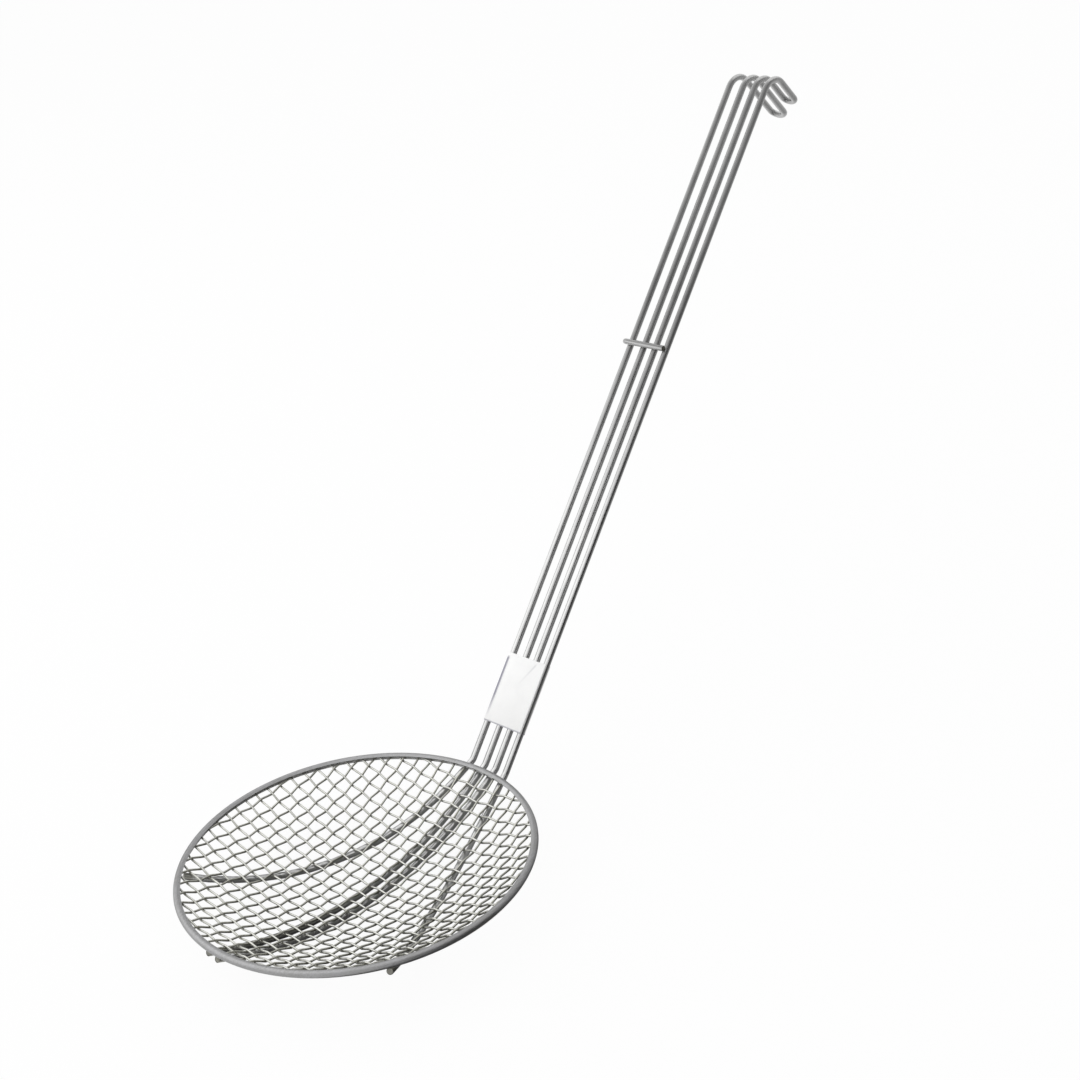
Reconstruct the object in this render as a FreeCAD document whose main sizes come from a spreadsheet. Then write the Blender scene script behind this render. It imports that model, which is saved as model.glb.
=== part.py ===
import FreeCAD, Part
import itertools
import math
import os

from FreeCAD import Placement, Rotation, Vector
from Sketcher import Constraint

# A spider skimmer: a shallow dish of woven wire held in a rolled rim, on two long hairpins of steel wire.
# Each hairpin starts as a rib under the dish, rises as one leg of the handle, bends over into the hook,
# turns back in a closed loop and comes down again as the next leg and rib.
#
# Frame: the rim lies level at z = 0 with its centre at the origin, the handle leaves it towards +X and
# rises in the plane y = 0. "Left" is +Y, seen by the person who holds the handle. Lengths are in mm.

doc = FreeCAD.newDocument("SpiderSkimmer")
sheet = doc.addObject("Spreadsheet::Sheet", "Sizes")

SIZES = {
    # the rolled rim
    "rim_diameter": 165.0,
    "rim_sheet": 0.3,
    "rim_flange": 0.9,
    "slot_gap": 0.05,
    # the woven dish: depth of the weave's middle surface below the rim, wire across its flats
    "dish_depth": 22.0,
    "mesh_wire": 1.0,
    "mesh_pitch": 6.35,
    "mesh_gap": 0.03,
    "mesh_setback": 0.2,
    # the two handle wires, and how they fit under the dish
    "handle_wire": 3.2,
    "handle_length": 357.7,
    "rib_gap": 0.03,
    "rib_run": 6.0,
    "rib_tip_setback": 2.0,
    "rim_bend_clear": 3.9,
    "rim_bend_radius": 4.5,
    "fan_rib_bow": 7.5,
    # places of the legs, to the left of the middle plane
    "left_outer_leg": 11.0,
    "left_inner_leg": 2.7,
    "right_inner_leg": -4.3,
    "right_outer_leg": -11.0,
    # the hook at the top
    "hook_radius": 9.6,
    "left_hook_arm": 26.8,
    "right_hook_arm": 13.4,
    # the wire clip and the sheet band round the legs
    "tie_wire": 2.8,
    "tie_place": 219.2,
    "tie_overhang": 0.6,
    "tie_rise": 1.8,
    "tie_back_setback": 1.6,
    "band_place": 20.0,
    "band_length": 35.0,
    "band_sheet": 0.5,
    "band_overhang": 0.9,
    "wrap_gap": 0.03,
}
ANGLES = {
    "handle_angle": 49.0,
    "hook_angle": 95.5,
    # where each rib ends under the rim, turned to the left from the point furthest from the handle
    "left_fan_turn": 49.2,
    "left_middle_turn": 4.75,
    "right_middle_turn": -0.2,
    "right_fan_turn": -57.4,
}

rows = itertools.count(1)


def name_cell(alias, number):
    """Adds one named number to the sheet."""
    row = next(rows)
    sheet.set(f"A{row}", alias)
    sheet.set(f"B{row}", str(number))
    sheet.setAlias(f"B{row}", alias)
    doc.recompute()


def size(alias):
    return float(sheet.get(alias))


def add_node(kind, name):
    node = doc.addObject(kind, name)
    node.Label = name
    return node


for alias, number in {**SIZES, **ANGLES}.items():
    name_cell(alias, number)

# The dish. The weave's middle surface is a cap of a ball that meets the rim's round at its centre circle.

mesh_wire = size("mesh_wire")
flat_half = mesh_wire / 2 / math.sqrt(3)
SETTLING_TURNS = 6
NODES = []


def dish_ball(rim_radius, depth):
    """Radius of the ball whose cap has this depth and rim."""
    return (rim_radius**2 + depth**2) / (2 * depth)


def crimp(ball, along, across):
    """How far a wire's centre line swings up or down from the middle surface where two wires cross.

    The wires are six-sided and upright, so on the slope they touch at the corners of their flats, on the
    side where each wire leans most. The lean follows from the swing, so a few turns settle both."""
    drop = math.sqrt(ball**2 - along**2 - across**2)
    steep_along, steep_across = abs(along) / drop, abs(across) / drop
    pitch = size("mesh_pitch") * drop / ball
    corners = flat_half * (steep_along + steep_across)
    lean = 0
    for _ in range(SETTLING_TURNS):
        halves = mesh_wire / 2 * (math.hypot(1, steep_along + lean) + math.hypot(1, steep_across + lean))
        swing = (halves + corners + size("mesh_gap")) / 2 + lean * flat_half
        lean = 2 * swing / pitch
    return swing


def weave_half(ball, along, across):
    """Half the weave's thickness, square to the dish."""
    drop = math.sqrt(ball**2 - along**2 - across**2)
    upright = mesh_wire / 2 * math.hypot(1, along / drop) + flat_half * abs(across) / drop
    return (crimp(ball, along, across) + upright) * drop / ball


def slot_half(ball, radius):
    """Half the rim's slot: the weave is thickest on the diagonals, where both sets of wires slope."""
    diagonal = radius / math.sqrt(2)
    return weave_half(ball, diagonal, diagonal) + size("slot_gap")


# The slot follows from the slope at the rim and the rim's round from the slot, so a few turns settle both.
round_centre = size("rim_diameter") / 2
for _ in range(SETTLING_TURNS):
    mesh_ball = dish_ball(round_centre, size("dish_depth"))
    slot = slot_half(mesh_ball, round_centre)
    round_centre = size("rim_diameter") / 2 - slot - size("rim_sheet")
name_cell("slot_half", slot)
rim_slope = math.asin(round_centre / mesh_ball)
# The upper lip leans over the dish, so its edge is the narrowest place of the mouth.
lip_lean = (slot + size("rim_sheet")) * math.sin(rim_slope)
lip_radius = round_centre - size("rim_flange") * math.cos(rim_slope) - lip_lean
mesh_end_radius = round_centre - size("mesh_setback")


def wire_places(first_share):
    """Places of one set of wires across the dish, a mesh pitch apart along its curve."""
    places = []
    steps = first_share
    while mesh_ball * math.sin(steps * size("mesh_pitch") / mesh_ball) < lip_radius - mesh_wire:
        place = mesh_ball * math.sin(steps * size("mesh_pitch") / mesh_ball)
        places += [place, -place] if steps else [place]
        steps += 1
    return sorted(places)


def dish_height(along, across):
    return mesh_ball - size("dish_depth") - math.sqrt(mesh_ball**2 - along**2 - across**2)


def crimped_wire(place, crossings, above_first):
    """One wire of the weave, in its own plane: over one crossing wire and under the next, ends in the rim."""
    end = math.sqrt(mesh_end_radius**2 - (abs(place) + 2 * flat_half) ** 2)
    inside = [(n, at) for n, at in enumerate(crossings) if abs(at) < end - mesh_wire]
    stations = []
    for n, at in inside:
        sign = 1 if (n % 2 == 0) == above_first else -1
        stations.append((at, dish_height(at, place) + sign * crimp(mesh_ball, at, place)))
    for at_end, near, next_in in ((-end, 0, 1), (end, -1, -2)):
        run = at_end - stations[near][0]
        swing, next_swing = (up - dish_height(at, place) for at, up in (stations[near], stations[next_in]))
        lean = (swing - next_swing) / (stations[near][0] - stations[next_in][0])
        # past its last crossing a wire leans back to the middle of the rim's slot, and no further
        end_swing = swing - lean * run
        if end_swing * swing < 0:
            end_swing = 0
        stations.insert(0 if near == 0 else len(stations), (at_end, dish_height(at_end, place) + end_swing))
    return six_sided_bar(stations)


def six_sided_bar(stations):
    """A bar of six flats along a bent line in the plane y = 0, mitred at each bend."""
    corner = 2 * flat_half
    section = [
        (corner, 0),
        (flat_half, mesh_wire / 2),
        (-flat_half, mesh_wire / 2),
        (-corner, 0),
        (-flat_half, -mesh_wire / 2),
        (flat_half, -mesh_wire / 2),
    ]
    points = [Vector(along, 0, height) for along, height in stations]
    normals = []
    for here, there in zip(points, points[1:]):
        run = (there - here).normalize()
        normals.append(Vector(-run.z, 0, run.x))
    mitres = [normals[0]]
    for before, after in zip(normals, normals[1:]):
        mitres.append((before + after) * (1 / (1 + before.dot(after))))
    mitres.append(normals[-1])
    rings = [
        [point + Vector(0, across, 0) + mitre * up for across, up in section]
        for point, mitre in zip(points, mitres)
    ]
    sides = len(section)
    outlines = [rings[0], rings[-1]]
    for ring, following in zip(rings, rings[1:]):
        for side in range(sides):
            other = (side + 1) % sides
            outlines.append([ring[side], ring[other], following[other], following[side]])
    faces = [Part.Face(Part.makePolygon(outline + outline[:1])) for outline in outlines]
    bar = Part.makeSolid(Part.makeShell(faces))
    if bar.Volume < 0:
        bar.reverse()
    return bar


def weave_dish():
    long_places = wire_places(0.5)
    cross_places = wire_places(0)
    for n, place in enumerate(long_places):
        node = add_node("Part::Feature", f"mesh_long_wire_{n + 1:02d}")
        node.Shape = crimped_wire(place, cross_places, n % 2 == 0)
        node.Placement = Placement(Vector(0, place, 0), Rotation())
        NODES.append(node)
    quarter_turn = Rotation(Vector(0, 0, 1), 90)
    for n, place in enumerate(cross_places):
        node = add_node("Part::Feature", f"mesh_cross_wire_{n + 1:02d}")
        node.Shape = crimped_wire(place, long_places, n % 2 == 1)
        node.Placement = Placement(Vector(place, 0, 0), quarter_turn)
        NODES.append(node)


# Folded sheet. The rim's section and the band are both a strip bent once into a U.

# How a sketch numbers the points of a line or an arc, and its own X axis, which starts at the origin.
START, END, CENTRE = range(1, 4)
SKETCH_X = -1


def u_strip(body, name, plane, sizes):
    """Sketch of a strip bent round the sketch's origin, with both legs towards -X.

    The sizes are expressions for the round's inside, the strip's thickness and its legs' length."""
    outline = body.newObject("Sketcher::SketchObject", name)
    outline.AttachmentSupport = [(plane, "")]
    outline.MapMode = "FlatFace"
    inner, thickness, leg = (float(outline.evalExpression(text)) for text in sizes.values())
    outer = inner + thickness

    rounds = []
    for radius in (inner, outer):
        circle = Part.Circle(Vector(), Vector(0, 0, 1), radius)
        rounds.append(outline.addGeometry(Part.ArcOfCircle(circle, -math.pi / 2, math.pi / 2)))
    fits = [Constraint("Coincident", turn, CENTRE, SKETCH_X, START) for turn in rounds]
    legs, tips = [], []
    for side, arc_end in ((1, END), (-1, START)):
        corners = [(0, inner), (-leg, inner), (-leg, outer), (0, outer)]
        points = [Vector(along, side * across, 0) for along, across in corners]
        lines = [Part.LineSegment(start, finish) for start, finish in zip(points, points[1:])]
        inside, tip, outside = (outline.addGeometry(line) for line in lines)
        fits += [
            Constraint("Tangent", rounds[0], arc_end, inside, START),
            Constraint("Coincident", inside, END, tip, START),
            Constraint("Coincident", tip, END, outside, START),
            Constraint("Tangent", outside, END, rounds[1], arc_end),
            Constraint("Horizontal", inside),
            Constraint("Horizontal", outside),
            Constraint("Vertical", tip),
        ]
        legs.append(inside)
        tips.append(tip)
    outline.addConstraint(fits + [Constraint("Equal", *legs)])

    measures = [
        Constraint("Radius", rounds[0], inner),
        Constraint("Distance", tips[0], thickness),
        Constraint("Distance", legs[0], leg),
    ]
    for label, measure in zip(sizes, measures):
        outline.renameConstraint(outline.addConstraint(measure), label)
        outline.setExpression(f"Constraints.{label}", sizes[label])
    return outline


def roll_rim():
    rim = add_node("PartDesign::Body", "rim_binding")
    axes = {feature.Role: feature for feature in rim.Origin.OriginFeatures}
    section_sizes = {"round": "Sizes.slot_half", "sheet": "Sizes.rim_sheet", "flange": "Sizes.rim_flange"}
    section = u_strip(rim, "RimSection", axes["XZ_Plane"], section_sizes)
    tilt = Rotation(Vector(0, 0, 1), math.degrees(rim_slope))
    section.AttachmentOffset = Placement(Vector(round_centre, 0, 0), tilt)
    doc.recompute()
    turn = rim.newObject("PartDesign::Revolution", "RimTurn")
    turn.Profile = section
    turn.ReferenceAxis = (axes["Z_Axis"], [""])
    turn.Angle = 360
    NODES.append(rim)


# The handle wires. Legs lie side by side in one plane that leaves the rim at the handle's angle.

handle_angle = math.radians(size("handle_angle"))
up_leg = Vector(math.cos(handle_angle), 0, math.sin(handle_angle))
behind = Vector(math.sin(handle_angle), 0, -math.cos(handle_angle))
wire_radius = size("handle_wire") / 2

rib_below_rim = slot + size("rim_sheet") + size("rib_gap") + wire_radius
rib_rim_radius = round_centre + rib_below_rim * math.sin(rim_slope)
rib_rim_height = -rib_below_rim * math.cos(rim_slope)
rib_bottom = -(size("dish_depth") + weave_half(mesh_ball, 0, 0) + size("rib_gap") + wire_radius)
rib_ball = dish_ball(rib_rim_radius, rib_rim_height - rib_bottom)
rib_centre = Vector(0, 0, rib_bottom + rib_ball)

bend_x = size("rim_diameter") / 2 + size("rim_bend_clear")
bend_z = rib_centre.z - math.sqrt(rib_ball**2 + size("rib_run") ** 2 - bend_x**2)


def leg_point(along, place):
    """A point on the axis of the leg at this place, this far up from the bend at the rim."""
    return Vector(bend_x, place, bend_z) + up_leg * along


def on_rib_ball(x, y):
    return Vector(x, y, rib_centre.z - math.sqrt(rib_ball**2 - x**2 - y**2))


def rounded_corner(before, corner, after, radius):
    """Start, middle and end of the arc that rounds a corner between two points."""
    back, ahead = (before - corner).normalize(), (after - corner).normalize()
    half_angle = back.getAngle(ahead) / 2
    inward = (back + ahead).normalize()
    cut = radius / math.tan(half_angle)
    centre = corner + inward * (radius / math.sin(half_angle))
    return corner + back * cut, centre - inward * radius, corner + ahead * cut


def rib_touch(bend, middle, tip):
    """Where a rib's arc, in the plane of these three points, lets go of the ball towards the bend."""
    normal = (middle - bend).cross(tip - bend).normalize()
    centre = rib_centre - normal * (rib_centre - bend).dot(normal)
    radius = (tip - centre).Length
    reach = bend - centre
    along = reach * (radius**2 / reach.Length**2)
    sideways = normal.cross(reach) * (radius * math.sqrt(reach.Length**2 - radius**2) / reach.Length**2)
    return min((centre + along + sideways, centre + along - sideways), key=tip.distanceToPoint)


def leg_edges(place, tip_turn, bow, hook_arm):
    """One leg from its rib's tip, under the dish, round the rim, up the handle and over into the hook."""
    tip_radius = size("rim_diameter") / 2 - size("rib_tip_setback")
    tip = on_rib_ball(-tip_radius * math.cos(tip_turn), tip_radius * math.sin(tip_turn))
    bend = leg_point(0, place)
    chord = Vector(tip.x - bend.x, tip.y - bend.y, 0)
    to_middle = Vector(0, 0, 1).cross(chord).normalize() * math.copysign(bow, tip_turn)
    halfway = (bend + tip) / 2 + to_middle
    middle = on_rib_ball(halfway.x, halfway.y)
    touch = rib_touch(bend, middle, tip)

    hook_start = leg_point(size("handle_length"), place)
    corner = rounded_corner(touch, bend, hook_start, size("rim_bend_radius"))

    turn = math.radians(size("hook_angle"))
    hook_centre = hook_start + behind * size("hook_radius")

    def on_hook(angle):
        return hook_centre + (up_leg * math.sin(angle) - behind * math.cos(angle)) * size("hook_radius")

    arm = up_leg * math.cos(turn) + behind * math.sin(turn)
    arm_end = on_hook(turn) + arm * hook_arm
    edges = [
        Part.Arc(tip, middle, touch),
        Part.LineSegment(touch, corner[0]),
        Part.Arc(*corner),
        Part.LineSegment(corner[2], hook_start),
        Part.Arc(hook_start, on_hook(turn / 2), on_hook(turn)),
        Part.LineSegment(on_hook(turn), arm_end),
    ]
    return edges, arm_end, arm


def swept_wire(name, edges, alias):
    """A round wire along tangent lines and arcs."""
    path = doc.addObject("Part::Feature", f"{name}_path")
    path.Shape = Part.Wire([edge.toShape() for edge in edges])
    first = edges[0]
    profile = doc.addObject("Part::Circle", f"{name}_profile")
    profile.setExpression("Radius", f"Sizes.{alias} / 2")
    heading = first.tangent(first.FirstParameter)[0]
    profile.Placement = Placement(first.value(first.FirstParameter), Rotation(Vector(0, 0, 1), heading))
    node = add_node("Part::Sweep", name)
    node.Sections = [profile]
    node.Spine = (path, [f"Edge{n + 1}" for n in range(len(edges))])
    node.Solid = True
    NODES.append(node)


def bend_handle_wires():
    bow = size("fan_rib_bow")
    for side in ("left", "right"):
        hook_arm = size(f"{side}_hook_arm")
        outer_leg, inner_leg = size(f"{side}_outer_leg"), size(f"{side}_inner_leg")
        fan_turn = math.radians(size(f"{side}_fan_turn"))
        middle_turn = math.radians(size(f"{side}_middle_turn"))
        outer, outer_end, arm = leg_edges(outer_leg, fan_turn, bow, hook_arm)
        inner, inner_end, _ = leg_edges(inner_leg, middle_turn, 0, hook_arm)
        loop_top = (outer_end + inner_end) / 2 + arm * (abs(outer_leg - inner_leg) / 2)
        loop = Part.Arc(outer_end, loop_top, inner_end)
        swept_wire(f"handle_wire_{side}", outer + [loop] + inner[::-1], "handle_wire")


# What holds the legs together: a wire clip bent round the left leg, and a folded band of sheet lower down.


def clip_legs():
    """The clip's strand behind the legs lies higher than the one in front, and stops short of the last leg."""
    outer_right = size("right_outer_leg")
    off_axis = behind * (wire_radius + size("wrap_gap") + size("tie_wire") / 2) + up_leg * (size("tie_rise") / 2)
    left = leg_point(size("tie_place"), size("left_outer_leg"))
    front_end = leg_point(size("tie_place"), outer_right - size("tie_overhang")) - off_axis
    back_end = leg_point(size("tie_place"), outer_right + size("tie_back_setback")) + off_axis
    nose = left + Vector(0, off_axis.Length, 0)
    edges = [
        Part.LineSegment(front_end, left - off_axis),
        Part.Arc(left - off_axis, nose, left + off_axis),
        Part.LineSegment(left + off_axis, back_end),
    ]
    swept_wire("handle_tie", edges, "tie_wire")


def fold_band():
    band = add_node("PartDesign::Body", "handle_band")
    axes = {feature.Role: feature for feature in band.Origin.OriginFeatures}
    section_sizes = {
        "round": "Sizes.handle_wire / 2 + Sizes.wrap_gap",
        "sheet": "Sizes.band_sheet",
        "flange": "Sizes.left_outer_leg - Sizes.right_outer_leg + Sizes.band_overhang",
    }
    section = u_strip(band, "BandSection", axes["XY_Plane"], section_sizes)
    doc.recompute()
    pad = band.newObject("PartDesign::Pad", "BandPad")
    pad.Profile = section
    pad.setExpression("Length", "Sizes.band_length")
    upright = Rotation(Vector(0, 1, 0), behind * -1, up_leg, "ZXY")
    band.Placement = Placement(leg_point(size("band_place"), size("left_outer_leg")), upright)
    NODES.append(band)


weave_dish()
roll_rim()
bend_handle_wires()
clip_legs()
fold_band()
doc.recompute()

os.makedirs("parts", exist_ok=True)
for node in doc.Objects:
    if "Invalid" in node.State or "Error" in node.State:
        raise RuntimeError(f"{node.Name} didn't build: {node.State}")
for node in NODES:
    if node.Shape.isNull() or not node.Shape.isValid():
        raise RuntimeError(f"{node.Label} has no valid solid")
    node.Shape.exportStep(f"parts/{node.Label}.step")
print(f"{len(NODES)} nodes, slot {2 * slot:.3f} mm, rim slope {math.degrees(rim_slope):.2f} degrees")
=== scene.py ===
# %% [markdown]
# # A spider skimmer
#
# A spider skimmer lifts food out of hot oil or water. It is almost all wire: a shallow dish of
# woven wire in a rolled rim, on a handle of two long hairpins that run on under the dish as ribs.
# The CAD model already holds every piece at its true size, so this lesson only makes the pieces
# finer and gives them their finish.

# %% Load the CAD model
import math

import bmesh
import bpy
from mathutils import Matrix, Vector


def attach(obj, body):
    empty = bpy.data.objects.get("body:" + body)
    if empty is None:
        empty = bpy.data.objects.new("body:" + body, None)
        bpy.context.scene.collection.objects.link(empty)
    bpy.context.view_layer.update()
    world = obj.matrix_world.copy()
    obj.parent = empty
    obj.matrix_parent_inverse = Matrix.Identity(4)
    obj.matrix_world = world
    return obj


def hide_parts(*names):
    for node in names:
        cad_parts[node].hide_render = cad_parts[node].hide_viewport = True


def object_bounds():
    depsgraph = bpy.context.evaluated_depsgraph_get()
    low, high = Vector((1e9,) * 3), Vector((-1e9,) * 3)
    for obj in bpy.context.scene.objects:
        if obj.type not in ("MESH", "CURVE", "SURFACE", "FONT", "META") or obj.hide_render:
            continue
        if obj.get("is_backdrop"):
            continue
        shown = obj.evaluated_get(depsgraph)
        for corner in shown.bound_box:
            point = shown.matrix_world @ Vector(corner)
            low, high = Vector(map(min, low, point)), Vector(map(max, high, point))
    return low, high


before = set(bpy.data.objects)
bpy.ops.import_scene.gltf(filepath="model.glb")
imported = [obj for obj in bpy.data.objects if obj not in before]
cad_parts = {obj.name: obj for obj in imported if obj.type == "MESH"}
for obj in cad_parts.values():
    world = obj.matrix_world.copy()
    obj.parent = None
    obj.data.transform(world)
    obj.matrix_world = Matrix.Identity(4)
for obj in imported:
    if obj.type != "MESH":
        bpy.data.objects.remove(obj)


def plain_box():
    """The corners of the whole object's box, as plain lists."""
    return [[float(number) for number in corner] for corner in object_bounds()]


cad_box = plain_box()
print("CAD nodes:", len(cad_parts), "box:", cad_box)

# %% [markdown]
# ## The camera
#
# The camera stands where the photographer stood. Its place was found by fitting the rim's oval and
# the handle's straight lines, so it is written here as a place and the two directions that it looks
# along and holds upright. A camera looks down its own -Z axis, so its turn is built from three
# columns: right, up and backwards.

# %% Set up the camera
CAMERA_PLACE = Vector((-0.397511, -0.551650, 0.469338))
SENSOR_WIDTH = 36
LENS = 60

looks_along = Vector((0.628102, 0.645450, -0.434605))
holds_up = Vector((0.391193, 0.220886, 0.893408))
to_its_right = looks_along.cross(holds_up)

camera_data = bpy.data.cameras.new("photo_camera")
camera_data.sensor_width = SENSOR_WIDTH
camera_data.lens = LENS
camera = bpy.data.objects.new("photo_camera", camera_data)
bpy.context.collection.objects.link(camera)
camera.location = CAMERA_PLACE
camera.rotation_euler = Matrix((to_its_right, holds_up, -looks_along)).transposed().to_euler()
bpy.context.scene.camera = camera
bpy.context.scene.view_settings.view_transform = "Standard"
print("camera at", tuple(camera.location), "lens", camera_data.lens, "mm")

# %% [markdown]
# ## Finishes as sums
#
# A finish is a tree of nodes, and wiring the tree by hand hides the idea behind it. Here a small
# class wraps one output of a node, so that a sum such as `1 - shine * 0.2` adds the Math nodes by
# itself. Every other kind of node comes from one method, which takes the node's type, its settings
# and what goes into its sockets. A few kinds are needed so often that they get a short name of
# their own: a ramp, a mix of two colours, a point's place and its distance along a direction.


# %% A wrapper for values and a finish that adds nodes
class Value:
    """One output of a finish's nodes."""

    def __init__(self, finish, socket):
        self.finish = finish
        self.socket = socket

    def maths(self, operation, first, second):
        return self.finish.add("ShaderNodeMath", {"operation": operation}, {0: first, 1: second})

    def __add__(self, other):
        return self.maths("ADD", self, other)

    def __radd__(self, other):
        return self.maths("ADD", other, self)

    def __sub__(self, other):
        return self.maths("SUBTRACT", self, other)

    def __rsub__(self, other):
        return self.maths("SUBTRACT", other, self)

    def __mul__(self, other):
        return self.maths("MULTIPLY", self, other)

    def __rmul__(self, other):
        return self.maths("MULTIPLY", other, self)

    def larger(self, other):
        return self.maths("MAXIMUM", self, other)

    def ramp(self, start, end):
        """0 before the start, 1 past the end and an even change between them."""
        return self.finish.add("ShaderNodeMapRange", {}, {"Value": self, 1: start, 2: end})


class Finish:
    """A material, or the world, with the one method that adds a node to it."""

    def __init__(self, owner):
        owner.use_nodes = True
        self.owner = owner
        self.tree = owner.node_tree

    def add(self, kind, settings, sockets, output=0):
        node = self.tree.nodes.new(kind)
        for name, setting in settings.items():
            setattr(node, name, setting)
        for name, value in sockets.items():
            self.feed(node.inputs[name], value)
        return Value(self, node.outputs[output])

    def feed(self, socket, value):
        if isinstance(value, Value):
            self.tree.links.new(value.socket, socket)
        else:
            socket.default_value = value

    def mix(self, share, first, second):
        """A colour between two others. A Mix node keeps its colours in sockets 6 and 7."""
        return self.add("ShaderNodeMix", {"data_type": "RGBA"}, {0: share, 6: first, 7: second}, 2)

    def place(self):
        """Where a point of the surface lies in the shared frame."""
        return self.add("ShaderNodeTexCoord", {}, {}, "Object")

    def along(self, place, start, direction):
        """How far a place lies from a starting point, counted along a direction."""
        run = self.add("ShaderNodeVectorMath", {"operation": "SUBTRACT"}, {0: place, 1: start})
        both = {0: run, 1: direction}
        return self.add("ShaderNodeVectorMath", {"operation": "DOT_PRODUCT"}, both, "Value")


def surface(name):
    """A new material and its main shader."""
    finish = Finish(bpy.data.materials.new(name))
    return finish, finish.tree.nodes["Principled BSDF"]


print("made Value, for sums of node outputs, and Finish, which adds the nodes")

# %% [markdown]
# ## The studio
#
# The photograph has a pure white ground. More light would also whiten the floor, but it would burn
# out the pale band on the handle. So the floor is white paint in a plain light, and what the camera
# and the metal's reflections see of it is lifted towards pure white, which leaves a pale shadow
# under the dish. The room around it works the same way.

# %% Build the floor and the room
UP = Vector((0, 0, 1))
FLOOR_HALF = 12
FLOOR_PAINT = (0.92, 0.92, 0.92, 1)
FLOOR_ROUGHNESS = 0.9
PURE_WHITE = (1, 1, 1, 1)
LIFTED_SHARE = 0.93
ROOM_LIGHT = 0.78


def stage_piece(name, shape, finish):
    """Turns a shape into a piece that belongs to the studio."""
    data = bpy.data.meshes.new(name)
    shape.to_mesh(data)
    shape.free()
    data.materials.append(finish.owner)
    piece = bpy.data.objects.new(name, data)
    bpy.context.collection.objects.link(piece)
    piece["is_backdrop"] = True
    return piece


def flat_sheet(half_size, place, facing):
    """A square sheet with its middle at a place, turned to face one way."""
    sheet = bmesh.new()
    turned = Matrix.Translation(place) @ facing.to_track_quat("Z", "Y").to_matrix().to_4x4()
    bmesh.ops.create_grid(sheet, x_segments=1, y_segments=1, size=half_size, matrix=turned)
    return sheet


def seen_directly(finish):
    """1 for rays from the camera, from a reflection or through glass, and 0 for other light."""
    kinds = ["Is Camera Ray", "Is Glossy Ray", "Is Transmission Ray"]
    camera_ray, glossy_ray, glass_ray = (finish.add("ShaderNodeLightPath", {}, {}, kind) for kind in kinds)
    return camera_ray.larger(glossy_ray.larger(glass_ray))


floor_paint, floor_shader = surface("floor_paint")
floor_shader.inputs["Base Color"].default_value = FLOOR_PAINT
floor_shader.inputs["Roughness"].default_value = FLOOR_ROUGHNESS
painted = Value(floor_paint, floor_shader.outputs[0])
white_glow = floor_paint.add("ShaderNodeEmission", {}, {"Color": PURE_WHITE, "Strength": 1})
lifted = {0: seen_directly(floor_paint) * LIFTED_SHARE, 1: painted, 2: white_glow}
floor_mix = floor_paint.add("ShaderNodeMixShader", {}, lifted)
floor_paint.feed(floor_paint.tree.nodes["Material Output"].inputs["Surface"], floor_mix)
floor_height = cad_box[0][2]
stage_piece("floor", flat_sheet(FLOOR_HALF, Vector((0, 0, floor_height)), UP), floor_paint)

world = bpy.data.worlds.new("white_room")
bpy.context.scene.world = world
room = Finish(world)
background = room.tree.nodes["Background"]
background.inputs["Color"].default_value = PURE_WHITE
room.feed(background.inputs["Strength"], ROOM_LIGHT + seen_directly(room) * (1 - ROOM_LIGHT))
print("floor at", round(floor_height, 4), "room light", ROOM_LIGHT)

# %% [markdown]
# The light comes softly from the left and above, as from a large window. A small lamp would draw a
# thin bright line along every wire, and a large one spreads it over a third of the wire's width.

# %% Hang the lamp
LAMP_SIZE = 2.2
LAMP_WATTS = 9.6
LAMP_TO_LEFT = 1.1
LAMP_TO_TOP = 0.8
LAMP_TO_CAMERA = 0.3

object_middle = (Vector(cad_box[0]) + Vector(cad_box[1])) / 2
to_lamp = -to_its_right * LAMP_TO_LEFT + holds_up * LAMP_TO_TOP - looks_along * LAMP_TO_CAMERA
lamp_data = bpy.data.lights.new("soft_window", "AREA")
lamp_data.shape = "SQUARE"
lamp_data.size = LAMP_SIZE
lamp_data.energy = LAMP_WATTS
lamp = bpy.data.objects.new("soft_window", lamp_data)
bpy.context.collection.objects.link(lamp)
lamp.location = object_middle + to_lamp
lamp.rotation_euler = to_lamp.to_track_quat("Z", "Y").to_euler()
print("lamp at", tuple(round(number, 3) for number in lamp.location))

# %% [markdown]
# ## Dark cards
#
# Round wire in an all-white room would look flat, because it shows nothing but white. A
# photographer holds dark cards where the metal should be dark. Here three bent screens stand in a
# row, from beside the camera round the right to the back, and the last one is raised off the table.
# A mat lies on the table on the right, and a small card stands behind the dish on the left. All are
# dark near the camera and pale grey towards the back. The camera and the soft light pass through
# them, and only the metal shows them.

# %% Set the dark cards
LEFT = Vector((0, 1, 0))
PALE_TOWARDS = Vector((0.8, 0.6, 0))
DARK_UP_TO = -0.25
PALE_FROM = 0.45
DARK_PAPER = (0.035, 0.035, 0.034, 1)
PALE_PAPER = (0.8, 0.8, 0.8, 1)
SCREEN_RADIUS = 0.7
SCREEN_STEPS = 12
SCREENS = {
    "right_screen": {"start": -125, "end": -58, "foot": 0, "top": 0.75},
    "back_screen": {"start": -58, "end": 43, "foot": 0, "top": 0.5},
    "raised_screen": {"start": 43, "end": 75, "foot": 0.24, "top": 0.6},
}
MAT_LIFT = 0.0002
MAT_HALF = 0.4
MAT_MIDDLE = Vector((0.33, -0.3, floor_height + MAT_LIFT))
LEFT_CARD_HALF = 0.06
LEFT_CARD_MIDDLE = Vector((0.02, 0.25, 0.035))

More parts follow.
